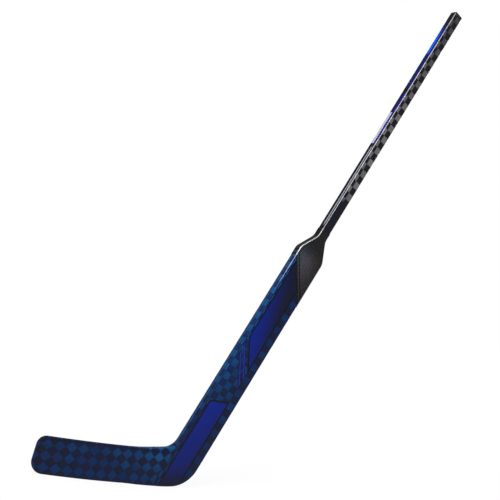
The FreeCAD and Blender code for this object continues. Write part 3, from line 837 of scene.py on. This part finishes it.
@dataclass(frozen=True)
class BareCarbon:
    """Unlacquered carbon of the hidden members: fine twill with dull resin."""

    pitch: float = 4.0
    tones: Pair = (tint(20, 20, 22), tint(58, 58, 62))

    def material(self) -> bpy.types.Material:
        """Builds the material.

        Returns:
            The finish, ready for a piece.
        """
        graph = Graph("bare_carbon")
        place = StickPlace(graph)
        u = place.along * (1.0 / self.pitch)
        v = (place.across + place.depth) * (1.0 / self.pitch)
        check = TapeCheck(graph, u, v)
        colour = graph.mix(check.light * 0.5 + check.fibre * 0.5, *self.tones)
        return graph.surface(
            {
                "Base Color": colour,
                "Roughness": check.fibre * 0.2 + 0.4,
                "Normal": graph.bump(check.fibre - check.gap, 0.3, 0.1),
            }
        )


@dataclass(frozen=True)
class FoamCore:
    """Closed-cell foam, off-white, with fine cells."""

    cell: float = 0.9
    tones: Pair = (tint(206, 196, 170), tint(232, 226, 208))

    def material(self) -> bpy.types.Material:
        """Builds the material.

        Returns:
            The finish, ready for a piece.
        """
        graph = Graph("foam_core")
        place = StickPlace(graph)
        cells = {"Vector": place.point, "Scale": 1.0 / self.cell}
        pore = graph.term("ShaderNodeTexVoronoi", {}, cells, "Distance")
        cloud = graph.noise(place.point, 0.05, 2.0)
        colour = graph.mix(pore * 0.7 + cloud * 0.3, *self.tones)
        return graph.surface(
            {
                "Base Color": colour,
                "Roughness": cloud * 0.1 + 0.8,
                "Normal": graph.bump(pore, 0.5, 0.3),
            }
        )


@dataclass(frozen=True)
class PlugPlastic:
    """Black moulded plastic with a fine spark-eroded grain."""

    tones: Pair = (tint(17, 17, 20), tint(44, 44, 48))

    def material(self) -> bpy.types.Material:
        """Builds the material.

        Returns:
            The finish, ready for a piece.
        """
        graph = Graph("plug_plastic")
        place = StickPlace(graph)
        grain = graph.noise(place.point, 2.2, 4.0)
        cloud = graph.noise(place.point, 0.08, 2.0)
        colour = graph.mix(grain * 0.6 + cloud * 0.3, *self.tones)
        return graph.surface(
            {
                "Base Color": colour,
                "Roughness": grain * 0.2 + 0.38,
                "Normal": graph.bump(grain, 0.35, 0.1),
            }
        )


def settle(piece: bpy.types.Object, body: Body) -> bpy.types.Object:
    """Puts a piece on its body.

    Args:
        piece: The finished piece.
        body: The body that carries it.

    Returns:
        The same piece.
    """
    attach(piece, body.value)
    log.info("%s rides on %s with %d faces", piece.name, body.value, len(piece.data.polygons))
    return piece


def stand(name: str, data: bpy.types.ID) -> bpy.types.Object:
    """Puts a mesh, a lamp or a camera into the scene.

    Args:
        name: Name of the new object.
        data: What the object shows.

    Returns:
        The new object.
    """
    made = bpy.data.objects.new(name, data)
    bpy.context.collection.objects.link(made)
    return made


def freeze(piece: bpy.types.Object) -> None:
    """Turns a piece with its modifiers into one plain mesh.

    Args:
        piece: The piece, which loses its modifiers.
    """
    ready = piece.evaluated_get(bpy.context.evaluated_depsgraph_get())
    piece.data = bpy.data.meshes.new_from_object(ready)
    piece.modifiers.clear()
    piece.data.name = piece.name


@dataclass
class Shell:
    """A smooth-shaded copy of one CAD node, which stands for it.

    Args:
        node: The CAD node's name.
        body: The body that carries it.
        slot: Name of a material slot; not used.
        crease: Angle over which an edge stays sharp, in degrees.
        evenness: How much large faces set the normals beside them, of 100.
    """

    node: str
    body: Body
    slot: str
    crease: float = 32.0
    evenness: int = 90

    def build(self, material: bpy.types.Material) -> bpy.types.Object:
        """Merges the node's loose triangles, smooths them and dresses them.

        Args:
            material: The finish.

        Returns:
            The piece that replaces the node.
        """
        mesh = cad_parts[self.node].data.copy()
        work = bmesh.new()
        work.from_mesh(mesh)
        bmesh.ops.remove_doubles(work, verts=work.verts, dist=WELD)
        limit = math.radians(self.crease)
        for face in work.faces:
            face.smooth = True
        for edge in work.edges:
            edge.smooth = len(edge.link_faces) == 2 and edge.calc_face_angle(0.0) < limit
        work.to_mesh(mesh)
        work.free()
        piece = stand(f"{self.node}_skin", mesh)
        even = piece.modifiers.new("even_normals", "WEIGHTED_NORMAL")
        even.mode = "FACE_AREA"
        even.weight = self.evenness
        even.keep_sharp = True
        freeze(piece)
        piece.data.materials.clear()
        piece.data.materials.append(material)
        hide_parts(self.node)
        return settle(piece, self.body)


@dataclass
class Ribs:
    """Raised bars on the flat faces of the cover, made by one node tree.

    Args:
        name: The piece's name.
        width: Width of a bar.
        proud: Height of a bar over the face.
        sides: Number of sides of a bar's section.
    """

    name: str
    width: float
    proud: float
    sides: int = 10

    def tree(self) -> bpy.types.NodeTree:
        """Builds the tree that lays a bar along every edge of its input.

        Returns:
            The tree, with the bar's sizes and material as named inputs.
        """
        tree = bpy.data.node_groups.new(f"{self.name}_tree", "GeometryNodeTree")
        kinds = {
            "Geometry": "NodeSocketGeometry",
            "Width": "NodeSocketFloat",
            "Height": "NodeSocketFloat",
            "Sides": "NodeSocketInt",
            "Finish": "NodeSocketMaterial",
        }
        for label, kind in kinds.items():
            tree.interface.new_socket(label, in_out="INPUT", socket_type=kind)
        tree.interface.new_socket("Geometry", in_out="OUTPUT", socket_type=kinds["Geometry"])
        graph = Graph(tree.name, tree)
        entry = graph.node("NodeGroupInput", {}, {})
        runs, width, height, sides, finish = (Term(graph, entry.outputs[label]) for label in kinds)
        circle = {"Resolution": sides, "Radius": 1.0}
        section = graph.term("GeometryNodeCurvePrimitiveCircle", {}, circle)
        oval = {"Geometry": section, "Scale": graph.vector(height, width, 1.0)}
        section = graph.term("GeometryNodeTransform", {}, oval)
        paths = graph.term("GeometryNodeMeshToCurve", {}, {0: runs})
        swept = {"Curve": paths, "Profile Curve": section, "Fill Caps": True}
        bars = graph.term("GeometryNodeCurveToMesh", {}, swept)
        for step in ("GeometryNodeSetShadeSmooth", "GeometryNodeRealizeInstances"):
            bars = graph.term(step, {}, {"Geometry": bars})
        dressed = {"Geometry": bars, "Material": finish}
        bars = graph.term("GeometryNodeSetMaterial", {}, dressed)
        graph.node("NodeGroupOutput", {}, {0: bars})
        return tree

    def build(
        self, runs: Sequence[tuple[Vector, Vector]], material: bpy.types.Material, slot: str
    ) -> bpy.types.Object:
        """Lays the bars and turns them into one plain mesh.

        Args:
            runs: Start and end of each bar, on the face, in metres.
            material: The finish.
            slot: Name of a material slot; not used.

        Returns:
            The finished piece.
        """
        points = [point for run in runs for point in run]
        edges = [(2 * place, 2 * place + 1) for place in range(len(runs))]
        path = bpy.data.meshes.new(f"{self.name}_runs")
        path.from_pydata(points, edges, [])
        piece = stand(self.name, path)
        tree = self.tree()
        made = piece.modifiers.new(self.name, "NODES")
        made.node_group = tree
        values = {
            "Width": self.width * 0.5 * MM,
            "Height": self.proud * MM,
            "Sides": self.sides,
            "Finish": material,
        }
        for item in tree.interface.items_tree:
            if item.in_out == "INPUT" and item.name in values:
                made[item.identifier] = values[item.name]
        freeze(piece)
        return settle(piece, Body.STICK)


@dataclass
class Laminate:
    """A sub-assembly of laminate pieces under one finish.

    Args:
        nodes: The CAD nodes of its outer pieces.
    """

    nodes: Names = ()

    def build(self, material: bpy.types.Material) -> None:
        """Makes the shells of the outer pieces."""
        for node in self.nodes:
            Shell(node, Body.STICK, "check_carbon").build(material)


@dataclass
class Blade(Laminate):
    """The blade: two skins inside a wrap that closes its rim."""

    nodes: Names = ("blade_front_skin", "blade_back_skin", "blade_edge_wrap")


@dataclass
class Paddle(Laminate):
    """The paddle: two skins between the rails of its narrow sides."""

    nodes: Names = ("paddle_front_skin", "paddle_back_skin", "paddle_toe_rail", "paddle_heel_rail")


@dataclass
class Shoulder:
    """The rubber cover of the shoulder, its fine ribs and its edge bead.

    Args:
        foot_toe, foot_heel: Heights of the cover's lower edge at its two sides.
        top: Height of the cover's upper edge.
        taper_start, taper_end: Heights between which the cover narrows.
        half_top, half_foot: Half its width above and below.
        pitch, slope: Distance from rib to rib, and their slope.
        margin, bead_clear, top_clear: What the ribs keep from sides, bead and upper edge.
        step, overrun: Step of the search for a rib's ends, and how far up it goes on.
        least_rib: Length under which a rib is left out.
        bead_margin: Distance that the bead keeps from the sides.
        rib_size, bead_size: Width and height of a rib and of the bead.
    """

    foot_toe: float = 623.0
    foot_heel: float = 519.0
    top: float = 719.0
    taper_start: float = 630.0
    taper_end: float = 712.0
    half_top: float = 14.9
    half_foot: float = 42.9
    margin: float = 6.0
    pitch: float = 4.2
    slope: float = 0.467
    step: float = 0.25
    bead_clear: float = 9.0
    top_clear: float = 2.0
    overrun: float = 20.0
    least_rib: float = 4.0
    bead_margin: float = 3.0
    rib_size: Span = (2.0, 0.4)
    bead_size: Span = (5.0, 0.5)

    def half_width(self, along: float) -> float:
        """Gives half the cover's width at a height.

        Args:
            along: Height up the shaft.

        Returns:
            Half the width there.
        """
        share = (along - self.taper_start) / (self.taper_end - self.taper_start)
        share = min(max(share, 0.0), 1.0)
        share = share * share * (3.0 - 2.0 * share)
        return self.half_foot + (self.half_top - self.half_foot) * share

    def foot(self, across: float) -> float:
        """Gives the height of the lower edge at a place across the paddle."""
        share = (across + HALF_PADDLE) / (2.0 * HALF_PADDLE)
        return self.foot_heel + (self.foot_toe - self.foot_heel) * share

    def rib_runs(self) -> list[tuple[Vector, Vector]]:
        """Works out each rib's ends on both wide faces.

        Returns:
            Start and end of each rib, in metres.
        """
        runs: list[tuple[Vector, Vector]] = []
        count = round(HALF_PADDLE / self.step)
        places = [self.step * place for place in range(-count, count + 1)]
        height = self.foot_heel
        while height < self.top + self.overrun:
            held = [across for across in places if self.holds(height + self.slope * across, across)]
            if held and held[-1] - held[0] > self.least_rib:
                ends = [(height + self.slope * end, end) for end in (held[0], held[-1])]
                runs.extend(self.on_both(ends))
            height += self.pitch
        return runs

    def holds(self, along: float, across: float) -> bool:
        """Tells whether a rib may pass a place.

        Args:
            along, across: Height up the shaft and place across the cover.

        Returns:
            True where the place is clear of the sides, the bead and the upper edge.
        """
        room = self.half_width(along) - self.margin - abs(across)
        clear = along - self.foot(across) - BEAD_INSET - self.bead_clear
        return room > 0.0 and clear > 0.0 and along < self.top - self.top_clear

    def on_both(self, ends: Sequence[Span]) -> list[tuple[Vector, Vector]]:
        """Lays a run on both wide faces.

        Args:
            ends: Height and place across of the run's start and end.

        Returns:
            Start and end on each face, in metres.
        """
        first, last = ends
        faces = [side.value * COVER_FACE for side in Side]
        return [(spot(*first, face), spot(*last, face)) for face in faces]

    def bead_runs(self) -> list[tuple[Vector, Vector]]:
        """Works out the bead along the lower edge on both wide faces."""
        reach = HALF_PADDLE - self.bead_margin
        return self.on_both([(self.foot(end) + BEAD_INSET, end) for end in (-reach, reach)])

    def build(self) -> None:
        """Makes the cover, the ribs and the bead."""
        rubber = RubberCover().material()
        raised = RubberCover("rubber_ribs", tint(27, 27, 30), tint(96, 96, 99), 0.0).material()
        bead = RubberCover("cover_bead", tint(34, 34, 36), tint(62, 62, 60), 0.0).material()
        Shell("shoulder_grip", Body.STICK, "rubber_cover").build(rubber)
        Ribs("shoulder_ribs", *self.rib_size).build(self.rib_runs(), raised, "rubber_cover")
        Ribs("shoulder_bead", *self.bead_size).build(self.bead_runs(), bead, "rubber_cover")


@dataclass
class Shaft:
    """The hollow shaft and the plug that closes its butt."""

    def build(self) -> None:
        """Makes the tube and the plug."""
        Shell("shaft_tube", Body.STICK, "shaft_carbon").build(ShaftCarbon().material())
        Shell("end_plug", Body.PLUG, "plug_plastic").build(PlugPlastic().material())


@dataclass
class Core:
    """The members inside: carbon webs and foam, kept as their CAD nodes."""

    carbon: Names = ("blade_rib", "heel_tongue", "paddle_spine", "shoulder_block", "shaft_tenon")
    foam: Names = ("blade_upper_core", "blade_lower_core", "paddle_toe_core", "paddle_heel_core")

    def dress(self) -> None:
        """Gives every inner node its finish."""
        for nodes, finish in ((self.carbon, BareCarbon()), (self.foam, FoamCore())):
            material = finish.material()
            for name in nodes:
                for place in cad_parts[name].material_slots:
                    place.material = material
                log.info("%s is dressed in %s", name, material.name)


@dataclass(frozen=True)
class Lamp:
    """A soft lamp whose long side lies along the shaft.

    Args:
        name: The lamp's name.
        aim: Point that the lamp faces, by height, place across and Y, in mm.
        way: Direction from that point to the lamp.
        reach: Distance from that point, in metres.
        sides: Width and length of the lamp, in metres.
        power: Watts.
    """

    name: str
    aim: Triple
    way: Triple
    reach: float
    sides: Span
    power: float

    def hang(self) -> None:
        """Hangs the lamp in the scene."""
        lamp = bpy.data.lights.new(self.name, "AREA")
        lamp.energy = self.power
        lamp.shape = "RECTANGLE"
        lamp.size, lamp.size_y = self.sides
        seat = stand(self.name, lamp)
        out = Vector(self.way).normalized()
        wide = UP_SHAFT.cross(out).normalized()
        turn = Matrix((wide, out.cross(wide), out)).transposed().to_4x4()
        seat.matrix_world = Matrix.Translation(spot(*self.aim) + out * self.reach) @ turn


@dataclass(frozen=True)
class Studio:
    """White floor, white rear, soft lamps and the camera.

    Args:
        eye: Where the camera stands, in metres.
        right, up, ahead: The camera's own directions.
        lens, sensor: Focal length and width of the sensor, in mm.
        sight: How far the camera sees, in metres.
        floor_half: Half the side of the floor, in metres.
        floor_tint: Colour of the floor as light falls on it.
        floor_glow: White that the floor shows to the camera.
        shadow_share: Share of that white beside the stick, where the shadow lies.
        shadow_span: Distances over which the floor turns wholly white, in metres.
        room_light: Strength of the dim light from all round.
        rear_span: Shares of facing away from the camera over which the white rear starts.
        lamps: The soft lamps.
    """

    eye: Triple = (-1.21138, -2.03050, 0.49065)
    right: Triple = (0.81264, -0.54371, 0.20977)
    up: Triple = (-0.19700, 0.08246, 0.97693)
    ahead: Triple = (0.54846, 0.83521, 0.04011)
    lens: float = 72.0
    sensor: float = 36.0
    sight: float = 200.0
    floor_half: float = 30.0
    floor_tint: Colour = tint(222, 222, 222)
    floor_glow: float = 1.025
    shadow_share: float = 0.9
    shadow_span: Span = (0.5, 2.4)
    room_light: float = 0.25
    rear_span: Span = (0.75, 0.92)
    lamps: tuple[Lamp, ...] = (
        Lamp("key", (2310.0, 0.0, 0.0), (-0.794, -0.5, 0.347), 3.0, (1.42, 1.85), 92.0),
        Lamp("crown", (670.0, 25.0, -10.0), (-0.164, -0.345, 0.923), 4.0, (0.9, 1.5), 47.0),
        Lamp("front", (350.0, 0.0, 0.0), (-0.62, -0.72, 0.31), 3.2, (1.6, 1.6), 26.0),
        Lamp("back", (700.0, 0.0, 0.0), (0.75, 0.65, 0.45), 3.0, (1.6, 1.6), 45.0),
    )

    def camera(self) -> None:
        """Sets the camera up."""
        lens = bpy.data.cameras.new("camera")
        lens.lens = self.lens
        lens.sensor_width = self.sensor
        lens.clip_end = self.sight
        seat = stand("camera", lens)
        axes = (Vector(self.right), Vector(self.up), -Vector(self.ahead))
        turn = Matrix(axes).transposed().to_4x4()
        seat.matrix_world = Matrix.Translation(Vector(self.eye)) @ turn
        bpy.context.scene.camera = seat

    def floor(self) -> None:
        """Lays the white floor, which keeps a faint shadow round the stick."""
        half = self.floor_half
        corners = [(-half, -half, 0.0), (half, -half, 0.0), (half, half, 0.0), (-half, half, 0.0)]
        mesh = bpy.data.meshes.new("white_floor")
        mesh.from_pydata(corners, [], [(0, 1, 2, 3)])
        graph = Graph("white_floor")
        x, y, _ = graph.place()
        away = graph.math("SQRT", x * x + y * y) * MM
        share = away.rise(*self.shadow_span) * (1.0 - self.shadow_share) + self.shadow_share
        white = graph.term("ShaderNodeBsdfDiffuse", {}, {"Color": self.floor_tint})
        shine = {"Color": WHITE, "Strength": self.floor_glow}
        glow = graph.term("ShaderNodeEmission", {}, shine)
        shown = graph.seen().high(graph.mirrored()) * share
        blend = graph.term("ShaderNodeMixShader", {}, {0: shown, 1: white, 2: glow})
        graph.node("ShaderNodeOutputMaterial", {}, {0: blend})
        mesh.materials.append(graph.holder)
        piece = stand("white_floor", mesh)

    def world(self) -> None:
        """Fills the room with dim light, and shows white to the camera and to what mirrors its rear."""
        graph = Graph("studio", bpy.data.worlds.new("studio"))
        x, y, _ = graph.parts(graph.term("ShaderNodeTexCoord", {}, {}, "Generated"))
        rear = (x * self.ahead[0] + y * self.ahead[1]).rise(*self.rear_span)
        shown = graph.seen().high(graph.mirrored() * rear)
        strength = shown * (1.0 - self.room_light) + self.room_light
        shade = graph.term("ShaderNodeBackground", {}, {"Color": WHITE, "Strength": strength})
        graph.node("ShaderNodeOutputWorld", {}, {0: shade})
        bpy.context.scene.world = graph.holder

    def build(self) -> None:
        """Makes the studio."""
        self.camera()
        for lamp in self.lamps:
            lamp.hang()
        self.floor()
        self.world()
        bpy.context.scene.view_settings.view_transform = "Standard"


def main() -> None:
    """Builds the stick's looks and its studio, in order."""
    logging.basicConfig(level=logging.INFO)
    woven = WovenCarbon().material()
    Blade().build(woven)
    Paddle().build(woven)
    Shoulder().build()
    Shaft().build()
    Core().dress()
    Studio().build()


if __name__ == "__main__":
    main()
